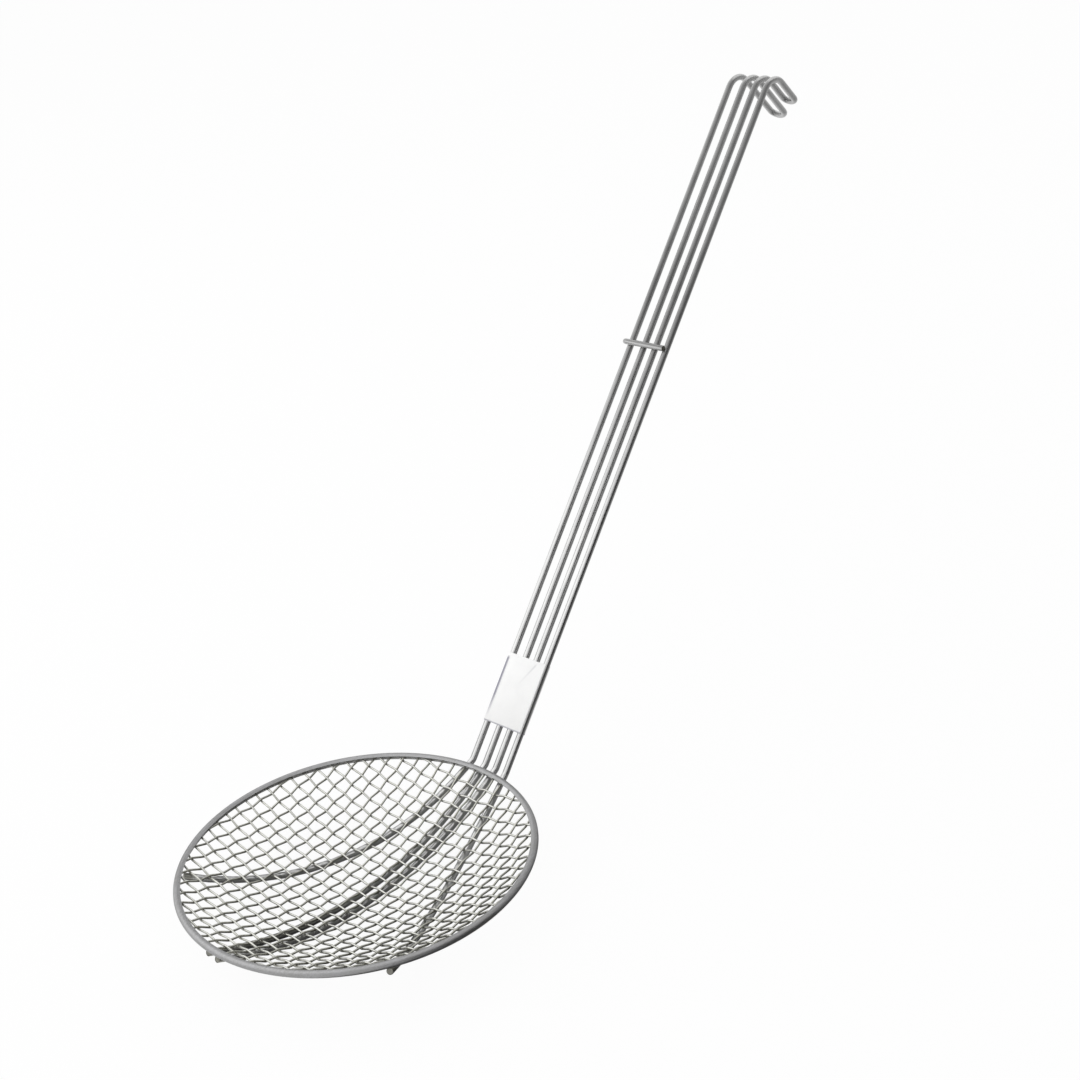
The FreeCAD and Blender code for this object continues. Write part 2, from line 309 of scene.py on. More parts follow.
card_paper, card_shader = surface("card_paper")
card_depth = card_paper.along(card_paper.place(), object_middle, PALE_TOWARDS)
paper_grey = card_paper.mix(card_depth.ramp(DARK_UP_TO, PALE_FROM), DARK_PAPER, PALE_PAPER)
card_paper.feed(card_shader.inputs["Base Color"], paper_grey)
card_shader.inputs["Roughness"].default_value = 1
card_shader.inputs["Specular IOR Level"].default_value = 0


def set_card(name, shape, paper):
    """A card that only shows in reflections."""
    card = stage_piece(name, shape, paper)
    card.visible_camera = False
    card.visible_diffuse = False
    card.visible_shadow = False
    card.visible_transmission = False


def bend_screen(name, start, end, foot, top):
    """A card bent round the object, between two compass angles in degrees and two heights."""
    screen = bmesh.new()
    axis_foot = Vector((object_middle.x, 0, floor_height))
    outward = Matrix.Rotation(math.radians(start), 3, "Z") @ Vector((SCREEN_RADIUS, 0, 0))
    edge = screen.edges.new([screen.verts.new(axis_foot + outward + UP * height) for height in (foot, top)])
    bmesh.ops.spin(
        screen,
        geom=[edge],
        cent=axis_foot,
        axis=UP,
        dvec=(0, 0, 0),
        angle=math.radians(end - start),
        steps=SCREEN_STEPS,
        use_merge=False,
    )
    set_card(name, screen, card_paper)


for screen_name, span in SCREENS.items():
    bend_screen(screen_name, **span)
set_card("dark_mat", flat_sheet(MAT_HALF, MAT_MIDDLE, UP), card_paper)
set_card("left_card", flat_sheet(LEFT_CARD_HALF, LEFT_CARD_MIDDLE, -LEFT), card_paper)
print("dark cards:", card_paper.owner.users)

# %% [markdown]
# ## Steel that was drawn through a die
#
# Wire is pulled through a hole to make it thin, which leaves fine lines along it, and polishing
# evens them out but not quite. So the finish has two patterns: long thin lines that follow the wire
# and slow clouds of tarnish. Both shift the colour and the shine a little, and the lines also lift
# the surface. Each finish also takes a measure of where it gets a painted tone: painted shade on the
# ribs, on the dish's wires and at the tie's cut end, and painted light inside the rolled rim.

# %% Mix the steel
# Painted shade: a dark olive for the ribs, the dish's wires and the tie's cut end.
PAINTED_SHADE = (0.10, 0.097, 0.065, 1)
LINE_SIZE = (0.03, 0.0005, 0.0005)
LINE_DEPTH = 0.00004
CLOUDS_PER_METRE = 90


def drawn_steel(name, turn, dark, light, roughness, painted_tone, painted_tone_depth, painted_tone_colour=PAINTED_SHADE):
    """Steel with its drawing lines turned along the wire, and a painted tone where its measure is 1."""
    finish, shader = surface(name)
    place = finish.place()
    turned = {"Vector": place, "Rotation": turn, "Scale": LINE_SIZE}
    along_wire = finish.add("ShaderNodeMapping", {"vector_type": "TEXTURE"}, turned)
    lines = finish.add("ShaderNodeTexNoise", {}, {"Vector": along_wire, "Scale": 1, "Detail": 3})
    cloudy = {"Vector": place, "Scale": CLOUDS_PER_METRE, "Detail": 4}
    clouds = finish.add("ShaderNodeTexNoise", {}, cloudy)
    clean = finish.mix((lines * 0.6 + clouds * 0.4).ramp(0.35, 0.65), dark, light)
    painted_toned = painted_tone(finish, place) * (painted_tone_depth - 0.3 * painted_tone_depth * clouds)
    finish.feed(shader.inputs["Base Color"], finish.mix(painted_toned, clean, painted_tone_colour))
    finish.feed(shader.inputs["Roughness"], roughness + clouds * 0.12 - lines * 0.06 + painted_toned * 0.1)
    relief = {"Strength": 0.15, "Distance": LINE_DEPTH, "Height": lines}
    finish.feed(shader.inputs["Normal"], finish.add("ShaderNodeBump", {}, relief))
    shader.inputs["Metallic"].default_value = 1
    return finish


print("oil stain:", PAINTED_SHADE)

# %% [markdown]
# ## Bending wire
#
# A wire bender feeds wire straight out and turns it round a peg. The helper below works the same
# way on a ring of edges: extrude feeds it forward and spin turns it round the bend's centre. A
# curve with a round bevel would be quicker to write, but its bends have no set radius. This way a
# wire is only a row of corners, each with its bend radius, as on a bending drawing.

# %% A wire bender
CUT_EASE_SHARE = 0.12
LEAST_RUN_SHARE = 0.001
SMOOTH_UP_TO = math.radians(50)


def feed_wire(wire, ring, run):
    """Extrudes a ring of edges along a straight run and gives the ring at its end."""
    grown = bmesh.ops.extrude_edge_only(wire, edges=ring)["geom"]
    ends = [item for item in grown if isinstance(item, bmesh.types.BMVert)]
    bmesh.ops.translate(wire, vec=run, verts=ends)
    edges = [item for item in grown if isinstance(item, bmesh.types.BMEdge)]
    return [edge for edge in edges if set(edge.verts) <= set(ends)]


def turn_wire(wire, ring, centre, axis, angle, steps):
    """Spins a ring of edges round a bend's centre and gives the ring at its end."""
    spun = bmesh.ops.spin(
        wire, geom=ring, cent=centre, axis=axis, dvec=(0, 0, 0), angle=angle, steps=steps, use_merge=False
    )
    return [item for item in spun["geom_last"] if isinstance(item, bmesh.types.BMEdge)]


def ease_edges(shape, edges, width):
    """Rounds the given edges a little, as filing or tumbling does."""
    bmesh.ops.bevel(
        shape,
        geom=edges,
        offset=width,
        offset_type="OFFSET",
        affect="EDGES",
        segments=2,
        profile=0.5,
        material=-1,
    )


def bend_wire(corners, thickness, sides, step):
    """A round wire through a row of corners, each a point and a bend radius, with eased ends."""
    wire = bmesh.new()
    at = corners[0][0]
    heading = (corners[1][0] - at).normalized()
    start = Matrix.Translation(at) @ heading.to_track_quat("Z", "Y").to_matrix().to_4x4()
    circle = bmesh.ops.create_circle(wire, cap_ends=True, radius=thickness / 2, segments=sides, matrix=start)
    first_ring = ring = list({edge for vert in circle["verts"] for edge in vert.link_edges})
    for (point, radius), (following, _) in zip(corners[1:], corners[2:]):
        next_heading = (following - point).normalized()
        turn = heading.angle(next_heading)
        cut = radius * math.tan(turn / 2)
        run = point - heading * cut - at
        if run.dot(heading) > thickness * LEAST_RUN_SHARE:
            ring = feed_wire(wire, ring, run)
        axis = heading.cross(next_heading).normalized()
        centre = point - heading * cut + axis.cross(heading) * radius
        ring = turn_wire(wire, ring, centre, axis, turn, max(2, math.ceil(turn / step)))
        at, heading = point + next_heading * cut, next_heading
    ring = feed_wire(wire, ring, corners[-1][0] - at)
    bmesh.ops.edgeloop_fill(wire, edges=ring)
    ease_edges(wire, first_ring + ring, thickness * CUT_EASE_SHARE)
    return wire


def show_piece(name, shape, finish, node):
    """Turns a finished shape into a piece that stands for a CAD node."""
    bmesh.ops.recalc_face_normals(shape, faces=shape.faces)
    data = bpy.data.meshes.new(name)
    shape.to_mesh(data)
    shape.free()
    data.shade_smooth()
    data.set_sharp_from_angle(angle=SMOOTH_UP_TO)
    data.materials.append(finish.owner)
    piece = bpy.data.objects.new(name, data)
    bpy.context.collection.objects.link(piece)
    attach(piece, "root")
    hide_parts(node)
    return piece


print("made the wire bender, which eases cut ends by", CUT_EASE_SHARE, "of the wire")

# %% [markdown]
# ## Measures of the dish
#
# The rim is a round roll, and the cloth's middle surface is the cap of a ball that meets the roll's
# centre circle. The ribs lie under the cloth on a slightly larger ball, which also clears the
# underside of the rim. So two balls, each worked out from a rim and a depth, place every wire of
# the object.

# %% Work out the two balls
RIM_RADIUS = 0.0825
RIM_SHEET = 0.0003
RIM_FLANGE = 0.0009
RIM_SLOT_HALF = 0.001345
DISH_DEPTH = 0.022
MESH_WIRE = 0.0010
MESH_PITCH = 0.00635
MESH_SWING = 0.0005755
HANDLE_WIRE = 0.0032
SEAT_GAP = 0.00003


def ball_radius(rim_radius, depth):
    """Radius of the ball whose cap has this rim and depth."""
    return (rim_radius**2 + depth**2) / (2 * depth)


rim_round_centre = RIM_RADIUS - RIM_SLOT_HALF - RIM_SHEET
dish_ball = ball_radius(rim_round_centre, DISH_DEPTH)
dish_centre = Vector((0, 0, dish_ball - DISH_DEPTH))
rim_slope = math.asin(rim_round_centre / dish_ball)

rib_below_rim = RIM_SLOT_HALF + RIM_SHEET + SEAT_GAP + HANDLE_WIRE / 2
rib_rim_radius = rim_round_centre + rib_below_rim * math.sin(rim_slope)
rib_rim_height = -rib_below_rim * math.cos(rim_slope)
rib_bottom = -(DISH_DEPTH + MESH_SWING + MESH_WIRE / 2 + SEAT_GAP + HANDLE_WIRE / 2)
rib_ball = ball_radius(rib_rim_radius, rib_rim_height - rib_bottom)
rib_centre = Vector((0, 0, rib_bottom + rib_ball))
print(f"dish ball {dish_ball:.6f}, rib ball {rib_ball:.6f}")
print(f"slope at the rim {math.degrees(rim_slope):.3f} degrees")

# %% [markdown]
# ## The handle
#
# Each half of the handle is one wire. It starts at the far rim as a rib, follows the dish's
# underside, bends up at the near rim, runs up as a leg, bends over into the hook, turns back in a
# tight loop and comes down again as the next leg and rib. A rib is one arc: the plane through its
# tip, its middle and the bend at the rim cuts the ribs' ball in a circle, and the arc leaves that
# circle where a straight run to the bend is tangent to it.

# %% Work out the corners of a leg and its rib
HANDLE_RISE = math.radians(49)
RIB_RUN = 0.006
RIB_TIP_SETBACK = 0.002
RIM_BEND_CLEAR = 0.0039
RIM_BEND = 0.0045
HANDLE_LENGTH = 0.3577
HOOK_RADIUS = 0.0096
HOOK_TURN = math.radians(95.5)

up_leg = Vector((math.cos(HANDLE_RISE), 0, math.sin(HANDLE_RISE)))
to_front = Vector((-math.sin(HANDLE_RISE), 0, math.cos(HANDLE_RISE)))
hook_arm = up_leg * math.cos(HOOK_TURN) - to_front * math.sin(HOOK_TURN)
hook_cut = HOOK_RADIUS * math.tan(HOOK_TURN / 2)
bend_x = RIM_RADIUS + RIM_BEND_CLEAR
bend_z = rib_centre.z - math.sqrt(rib_ball**2 + RIB_RUN**2 - bend_x**2)


def leg_point(along, place):
    """A point on the axis of the leg at this place, this far up from the bend at the rim."""
    return Vector((bend_x, place, bend_z)) + up_leg * along


def on_rib_ball(x, y):
    """The point of the ribs' ball below this place."""
    return Vector((x, y, rib_centre.z - math.sqrt(rib_ball**2 - x**2 - y**2)))


def leg_corners(place, tip_turn, bow, loop_reach):
    """Corners of one leg from its rib's tip to the loop at the end of the hook."""
    tip_radius = RIM_RADIUS - RIB_TIP_SETBACK
    tip = on_rib_ball(-tip_radius * math.cos(tip_turn), tip_radius * math.sin(tip_turn))
    bend = leg_point(0, place)
    chord = Vector((tip.x - bend.x, tip.y - bend.y, 0))
    sideways = UP.cross(chord).normalized()
    halfway = (bend + tip) / 2 + sideways * math.copysign(bow, tip_turn)
    middle = on_rib_ball(halfway.x, halfway.y)

    normal = (middle - bend).cross(tip - bend).normalized()
    centre = rib_centre - normal * (rib_centre - bend).dot(normal)
    radius = (tip - centre).length
    reach = bend - centre
    share = radius**2 / reach.length_squared
    aside = normal.cross(reach) * math.sqrt(share - share**2)
    touches = (centre + reach * share + aside, centre + reach * share - aside)
    touch = min(touches, key=lambda point: (point - tip).length)
    to_tip, to_touch = tip - centre, touch - centre
    rib_corner = centre + (to_tip + to_touch) / (1 + to_tip.dot(to_touch) / radius**2)

    hook_corner = leg_point(HANDLE_LENGTH + hook_cut, place)
    loop_corner = hook_corner + hook_arm * (hook_cut + loop_reach)
    return [(tip, 0), (rib_corner, radius), (bend, RIM_BEND), (hook_corner, HOOK_RADIUS)], loop_corner


print(f"bend at the rim: x {bend_x:.5f}, z {bend_z:.5f}")

# %% [markdown]
# The two hairpins differ: the left one spreads its legs wider and reaches further over at the hook,
# and their outer ribs fan out to different places on the rim. Each is named by the places of its
# two legs, the turns of its two rib tips and the length of its arm. The ribs are painted dark at
# their tips, and one of them over its far half, as painted shade under the cloth.

# %% Bend the two handle wires
FAN_RIB_BOW = 0.0075
LEFT_OUTER_LEG = 0.011
LEFT_INNER_LEG = 0.0027
LEFT_FAN_TURN = math.radians(49.2)
LEFT_MIDDLE_TURN = math.radians(4.75)
LEFT_HOOK_ARM = 0.0268
RIGHT_OUTER_LEG = -0.011
RIGHT_INNER_LEG = -0.0043
RIGHT_FAN_TURN = math.radians(-57.4)
RIGHT_MIDDLE_TURN = math.radians(-0.2)
RIGHT_HOOK_ARM = 0.0134
ROUND_SIDES = 24
HAIRPIN_STEP = math.radians(5)
LEG_GREYS = (0.46, 0.46, 0.46, 1), (0.64, 0.64, 0.635, 1)

# Each pair gives where the painted shade starts and where it is full.
SHADED_FAR_HALF = (0.01, -0.04)
SHADED_LEFT_OF_MIDDLE = (0.002, 0.003)
SHADED_INSIDE_OUTER_RIB = (0.02, 0.015)
SHADED_RIB_TIP = (RIM_RADIUS - 0.008, RIM_RADIUS - 0.005)
FAR_HALF_SHADE = 0.7


def from_dish_axis(finish, place):
    """Distance from the upright line through the middle of the dish."""
    flat = finish.add("ShaderNodeVectorMath", {"operation": "MULTIPLY"}, {0: place, 1: (1, 1, 0)})
    return finish.add("ShaderNodeVectorMath", {"operation": "LENGTH"}, {0: flat}, "Value")


def painted_shade_on_ribs(finish, place):
    """Painted shade on the tips of all ribs, and on the far half of the rib just left of the middle plane.
    """
    towards_handle = finish.add("ShaderNodeSeparateXYZ", {}, {0: place}, "X")
    to_left = finish.add("ShaderNodeSeparateXYZ", {}, {0: place}, "Y")
    far_half = towards_handle.ramp(*SHADED_FAR_HALF)
    middle_rib = to_left.ramp(*SHADED_LEFT_OF_MIDDLE) * to_left.ramp(*SHADED_INSIDE_OUTER_RIB)
    tips = from_dish_axis(finish, place).ramp(*SHADED_RIB_TIP) * far_half
    return tips.larger(far_half * middle_rib * FAR_HALF_SHADE)


leg_steel = drawn_steel(
    "leg_steel", (0, -HANDLE_RISE, 0), *LEG_GREYS, roughness=0.26, painted_tone=painted_shade_on_ribs, painted_tone_depth=0.85
)


def bend_hairpin(side, outer_leg, inner_leg, fan_turn, middle_turn, arm):
    """One half of the handle, from the tip of its outer rib to the tip of its middle rib."""
    loop_radius = (outer_leg - inner_leg) / 2 * math.copysign(1, outer_leg)
    outer, outer_loop = leg_corners(outer_leg, fan_turn, FAN_RIB_BOW, arm + loop_radius)
    inner, inner_loop = leg_corners(inner_leg, middle_turn, 0, arm + loop_radius)
    corners = outer + [(outer_loop, loop_radius), (inner_loop, loop_radius)] + inner[::-1]
    hairpin = bend_wire(corners, HANDLE_WIRE, ROUND_SIDES, HAIRPIN_STEP)
    piece = show_piece(f"hairpin_{side}", hairpin, leg_steel, f"handle_wire_{side}")
    rib_tip = tuple(round(number, 5) for number in corners[0][0])
    print(piece.name, "corners", len(corners), "rib tip", rib_tip)


bend_hairpin("left", LEFT_OUTER_LEG, LEFT_INNER_LEG, LEFT_FAN_TURN, LEFT_MIDDLE_TURN, LEFT_HOOK_ARM)
bend_hairpin("right", RIGHT_OUTER_LEG, RIGHT_INNER_LEG, RIGHT_FAN_TURN, RIGHT_MIDDLE_TURN, RIGHT_HOOK_ARM)

# %% [markdown]
# ## A tent over the hook
#
# The handle is bright near the dish and turns to an even grey towards the hook, which no flat card
# gives. So a tube of thin grey cloth stands round the upper legs, another prop that only the metal
# shows. It fades in along the legs, and it is darkest on the right and palest on the left, at the
# back and by the hook.

# %% Put up the tent
TENT_RADIUS = 0.16
TENT_FADES_IN = 0.14
TENT_IS_THICK = 0.28
TENT_TOP = 0.62
TENT_SIDES = 36
TENT_GREY = 0.1
HOOK_GLOW = 0.12
LEFT_GLOW = 0.4
BACK_GLOW = 0.42

tent_cloth, tent_shader = surface("tent_cloth")
tent_foot = leg_point(0, 0)
cloth_place = tent_cloth.place()
to_back = (looks_along - up_leg * looks_along.dot(up_leg)).normalized()
up_tent = tent_cloth.along(cloth_place, tent_foot, up_leg)
at_hook = up_tent.ramp(TENT_IS_THICK, HANDLE_LENGTH)
at_left = tent_cloth.along(cloth_place, tent_foot, LEFT).ramp(-TENT_RADIUS, TENT_RADIUS)
at_back = tent_cloth.along(cloth_place, tent_foot, to_back).ramp(-TENT_RADIUS, TENT_RADIUS)
tent_glow = TENT_GREY + at_hook * HOOK_GLOW + at_left * LEFT_GLOW + at_back * at_back * BACK_GLOW
tent_cloth.feed(tent_shader.inputs["Emission Color"], tent_glow)
tent_cloth.feed(tent_shader.inputs["Alpha"], up_tent.ramp(TENT_FADES_IN, TENT_IS_THICK))
tent_shader.inputs["Emission Strength"].default_value = 1
tent_shader.inputs["Base Color"].default_value = (0, 0, 0, 1)
tent_shader.inputs["Specular IOR Level"].default_value = 0

tent = bmesh.new()
tent_ends = [leg_point(along, 0) + to_front * TENT_RADIUS for along in (TENT_FADES_IN, TENT_TOP)]
tent_edge = tent.edges.new([tent.verts.new(end) for end in tent_ends])
bmesh.ops.spin(
    tent,
    geom=list(tent.verts) + [tent_edge],
    cent=tent_foot,
    axis=up_leg,
    dvec=(0, 0, 0),
    angle=math.tau,
    steps=TENT_SIDES,
    use_merge=True,
)
set_card("grey_tent", tent, tent_cloth)
print("tent radius", TENT_RADIUS, "from", TENT_FADES_IN, "to", TENT_TOP, "up the legs")

# %% [markdown]
# ## The tie
#
# A short wire is folded round the left outer leg and closes on all four, so the legs can't spread
# in the hand. It is the same kind of wire, a little thinner, so the bender makes it from four
# corners. The strand behind the legs lies a little higher than the one in front. The cut end in
# front is painted dark, as painted shade where it meets the right outer leg.

# %% Fold the tie
TIE_WIRE = 0.0028
TIE_PLACE = 0.2192
TIE_OVERHANG = 0.0006
TIE_RISE = 0.0018
TIE_BACK_SETBACK = 0.0016
TIE_STEP = math.radians(8)
TIE_GREYS = (0.41, 0.41, 0.405, 1), (0.55, 0.55, 0.55, 1)
# The cut end of the front strand takes painted shade this far along it.
CUT_END_SHADE_DEPTH = 0.0004

to_tie_front = to_front * (HANDLE_WIRE / 2 + SEAT_GAP + TIE_WIRE / 2) - up_leg * (TIE_RISE / 2)
tie_turn = to_tie_front.length
tie_end = leg_point(TIE_PLACE, RIGHT_OUTER_LEG - TIE_OVERHANG)
tie_back_end = leg_point(TIE_PLACE, RIGHT_OUTER_LEG + TIE_BACK_SETBACK)
tie_nose = leg_point(TIE_PLACE, LEFT_OUTER_LEG + tie_turn)
tie_corners = [
    (tie_end + to_tie_front, 0),
    (tie_nose + to_tie_front, tie_turn),
    (tie_nose - to_tie_front, tie_turn),
    (tie_back_end - to_tie_front, 0),
]


def painted_shade_at_cut_end(finish, place):
    """Painted shade on the sheared face of the front strand and a thin ring behind it."""
    across = finish.add("ShaderNodeSeparateXYZ", {}, {0: place}, "Y")
    return across.ramp(tie_end.y + CUT_END_SHADE_DEPTH, tie_end.y)


tie_steel = drawn_steel(
    "tie_steel", (0, 0, math.pi / 2), *TIE_GREYS, roughness=0.26, painted_tone=painted_shade_at_cut_end, painted_tone_depth=0.9
)
tie_wire = bend_wire(tie_corners, TIE_WIRE, ROUND_SIDES, TIE_STEP)
tie = show_piece("tie", tie_wire, tie_steel, "handle_tie")
print(tie.name, len(tie.data.polygons), "faces")

# %% [markdown]
# ## The woven dish
#
# The dish is plain weave: every wire goes over one neighbour and under the next, and the whole
# cloth is pressed into a shallow cap of a ball. A wavy line would do for one wire, but here each
# wire is bent from its own corners, one at nearly every crossing, a little over half a wire above or
# below the ball, so that neighbours sit close. Where the dish is steep they press into each other by
# up to 0.034 mm, which is too little to see. At eight crossings by the rim both wires end less than a
# wire's thickness away, so neither is bent there and they run into each other. The places are counted
# along the curve, so the cells keep their size towards the rim.

# %% Work out the crimps
CRIMP_RADIUS = 0.0022
CRIMP_SWING = 0.000555
WIRE_END_RADIUS = 0.080655
OUTER_PLACE = 0.0776
MOST_WIRES_A_SIDE = 20


def ball_drop(x, y):
    """How far the dish lies below its ball's centre at this place."""
    return math.sqrt(dish_ball**2 - x**2 - y**2)


def dish_height(x, y):
    return dish_centre.z - ball_drop(x, y)


def wire_places(first):
    """Places of one set of wires, the first of them this many pitches from the middle."""
    steps = [first + count for count in range(MOST_WIRES_A_SIDE)]
    half = [dish_ball * math.sin(step * MESH_PITCH / dish_ball) for step in steps]
    half = [place for place in half if place < OUTER_PLACE]
    return sorted({place for place in half} | {-place for place in half})


def woven_corners(place, crossings, number):
    """Corners of one wire in its own plane: over and under by turns, into the rim at both ends."""
    end = math.sqrt(WIRE_END_RADIUS**2 - (abs(place) + MESH_WIRE / 2) ** 2)
    inside = [(count, at) for count, at in enumerate(crossings) if abs(at) < end - MESH_WIRE]
    sides = [1 if (count - number) % 2 == 0 else -1 for count, _ in inside]
    swings = [side * CRIMP_SWING * dish_ball / ball_drop(at, place) for side, (_, at) in zip(sides, inside)]
    corners = [(at, dish_height(at, place) + swing, CRIMP_RADIUS) for (_, at), swing in zip(inside, swings)]

    def rim_end(at_end, near, swing):
        back_to_middle = max(0, 1 - 2 * abs(at_end - near) / MESH_PITCH)
        return at_end, dish_height(at_end, place) + swing * back_to_middle, 0

    first = rim_end(-end, inside[0][1], swings[0])
    last = rim_end(end, inside[-1][1], swings[-1])
    return [first] + corners + [last]


long_places = wire_places(0.5)
cross_places = wire_places(0)
print("places:", len(long_places), "long,", len(cross_places), "cross")

# %% [markdown]
# Painted shade darkens a wire where it dips under its neighbour. There it lies outside the dish's
# ball, so the distance from the ball's centre is the measure of the painted shade. The long wires
# are painted a little darker than the cross wires too, as painted shade, so each set has its own
# greys.

# %% Weave the wires
MESH_SIDES = 12
MESH_STEP = math.radians(6)
MESH_SHADE_HALF = MESH_WIRE * 0.4
# The long wires' greys are painted darker than the cross wires', as painted shade on the same steel.
LONG_GREYS_IN_SHADE = (0.41, 0.405, 0.355, 1), (0.60, 0.60, 0.55, 1)
CROSS_GREYS_IN_LIGHT = (0.46, 0.46, 0.42, 1), (0.68, 0.68, 0.65, 1)


def painted_shade_under_neighbour(finish, place):
    """Painted shade: 1 where a wire lies outside the dish's ball, and 0 where it lies inside."""
    to_centre = {0: place, 1: dish_centre}
    from_centre = finish.add("ShaderNodeVectorMath", {"operation": "DISTANCE"}, to_centre, "Value")
    return (from_centre - dish_ball).ramp(-MESH_SHADE_HALF, MESH_SHADE_HALF)


def weave_wire(kind, number, corners, steel):
    """Bends one wire of the cloth and shows it in place of its CAD node."""
    wire = bend_wire(corners, MESH_WIRE, MESH_SIDES, MESH_STEP)
    count = f"{number + 1:02d}"
    show_piece(f"woven_{kind}_{count}", wire, steel, f"mesh_{kind}_wire_{count}")


long_steel = drawn_steel(
    "long_wire_steel", (0, 0, 0), *LONG_GREYS_IN_SHADE, roughness=0.26, painted_tone=painted_shade_under_neighbour, painted_tone_depth=0.7
)
cross_turn = (0, 0, math.pi / 2)
cross_steel = drawn_steel(
    "cross_wire_steel", cross_turn, *CROSS_GREYS_IN_LIGHT, roughness=0.24, painted_tone=painted_shade_under_neighbour, painted_tone_depth=0.6
)
for number, y in enumerate(long_places):
    in_plane = woven_corners(y, cross_places, number)
    weave_wire("long", number, [(Vector((x, y, z)), bend) for x, z, bend in in_plane], long_steel)
for number, x in enumerate(cross_places):
    in_plane = woven_corners(x, long_places, number + 1)
    weave_wire("cross", number, [(Vector((x, y, z)), bend) for y, z, bend in in_plane], cross_steel)
print("woven wires:", long_steel.owner.users, "long,", cross_steel.owner.users, "cross")

# %% [markdown]
# ## Folding a strip
#
# The rim and the band are both strips of sheet folded into a U. The section starts as one short
# edge across the sheet: extrude makes the upper lip, spin rolls the fold and extrude makes the
# lower lip, as a folding machine does.

# %% A folded strip
SHEET_EASE_SHARE = 0.3
SHARP_ABOVE = 1.0


def u_section(inner_radius, sheet, flange, folds):
    """A strip folded round the origin in the XZ plane, open towards -X, as a row of flat faces."""
    strip = bmesh.new()
    near = strip.verts.new((-flange, 0, inner_radius))
    far = strip.verts.new((-flange, 0, inner_radius + sheet))
    across = [strip.edges.new((near, far))]
    across = feed_wire(strip, across, Vector((flange, 0, 0)))
    across = turn_wire(strip, across, (0, 0, 0), (0, 1, 0), math.pi, folds)
    feed_wire(strip, across, Vector((-flange, 0, 0)))
    return strip


def ease_sheet(shape, sheet):
    """Eases the edges of a folded sheet, which are all edges that turn by more than a radian."""
    between_faces = [edge for edge in shape.edges if len(edge.link_faces) == 2]
    sharp = [edge for edge in between_faces if edge.calc_face_angle() > SHARP_ABOVE]
    ease_edges(shape, sharp, sheet * SHEET_EASE_SHARE)


print("made the folded strip, eased by", SHEET_EASE_SHARE, "of its sheet")

# %% [markdown]
# ## The rim
#
# The rim is one strip of sheet, rolled over the cut ends of the cloth. Its section is a U that lies
# along the dish's slope, and a full spin about the dish's axis turns the section into the ring.
# Only the section's outline is spun, so that no walls are left inside the sheet. Its inner face lies
# in shade and is painted pale, as painted light.

# %% Roll the rim
RIM_FOLDS = 14
RIM_STEPS = 180
RIM_GREYS = (0.31, 0.31, 0.305, 1), (0.40, 0.40, 0.41, 1)
# Painted light: a pale grey on the inner face of the roll, which lies in shade.
PAINTED_LIGHT_INSIDE = (0.85, 0.85, 0.84, 1)
PAINTED_LIGHT_ENDS_AT = RIM_SLOT_HALF + RIM_SHEET * 0.9
PAINTED_LIGHT_INSIDE_UP_TO = RIM_SLOT_HALF + RIM_SHEET * 0.4


def painted_light_inside_roll(finish, place):
    """Painted light: 1 on the inner face of the rolled strip, by its distance from the roll's middle."""
    outward = from_dish_axis(finish, place) - rim_round_centre
    upward = finish.add("ShaderNodeSeparateXYZ", {}, {0: place}, "Z")
    return (outward * outward + upward * upward).ramp(PAINTED_LIGHT_ENDS_AT**2, PAINTED_LIGHT_INSIDE_UP_TO**2)


rim_steel = drawn_steel(
    "rim_steel",
    (0, 0, 0),
    *RIM_GREYS,
    roughness=0.48,
    painted_tone=painted_light_inside_roll,
    painted_tone_depth=0.9,
    painted_tone_colour=PAINTED_LIGHT_INSIDE,
)
rim = u_section(RIM_SLOT_HALF, RIM_SHEET, RIM_FLANGE, RIM_FOLDS)
inner_edges = [edge for edge in rim.edges if not edge.is_boundary]
bmesh.ops.delete(rim, geom=inner_edges, context="EDGES")
bmesh.ops.rotate(rim, cent=(0, 0, 0), matrix=Matrix.Rotation(-rim_slope, 3, "Y"), verts=rim.verts)
bmesh.ops.translate(rim, vec=(rim_round_centre, 0, 0), verts=rim.verts)
bmesh.ops.spin(
    rim,
    geom=list(rim.verts) + list(rim.edges),
    cent=(0, 0, 0),
    axis=UP,
    dvec=(0, 0, 0),
    angle=math.tau,
    steps=RIM_STEPS,
    use_merge=True,
)
ease_sheet(rim, RIM_SHEET)
rim_piece = show_piece("rolled_rim", rim, rim_steel, "rim_binding")
print(rim_piece.name, len(rim_piece.data.polygons), "faces")

# %% [markdown]
# ## The band
#
# A strip of plain white sheet is folded round the four legs just above the dish. Its white isn't
# quite even: handling has left it a little grey in patches, and one soft crease runs down from its
# upper right corner. Painted shade darkens it round the fold, along the lower edge and along the
# crease. Each of these is a measure of where a point lies on the band, so they stay in place from
# every side.

# %% Mix the white sheet
BAND_PLACE = 0.02
BAND_LENGTH = 0.035
CLEAN_WHITE = (0.96, 0.96, 0.955, 1)
SMUDGE_AND_SHADE_WHITE = (0.74, 0.74, 0.75, 1)
FOLD_SHADE_GREY = (0.28, 0.28, 0.34, 1)
SMUDGES_PER_METRE = 120
GRAINS_PER_METRE = 2500
GRAIN_DEPTH = 0.00005

# Each pair gives where a mark of painted shade starts and where it is full.
CREASE_SIDE = (0.0008, 0.0002)
CREASE_BEGINNING = (-0.001, 0.001)
SHADED_FOLD = (LEFT_OUTER_LEG - 0.0008, LEFT_OUTER_LEG + 0.0002)
FOLD_SHADE_FROM_BELOW = (BAND_LENGTH * 0.04, BAND_LENGTH * 0.4)
FOLD_SHADE_FROM_ABOVE = (BAND_LENGTH * 0.96, BAND_LENGTH * 0.92)
SHADED_LOW_EDGE = (0.0009, 0.0003)
LOW_EDGE_SHADE = 0.7

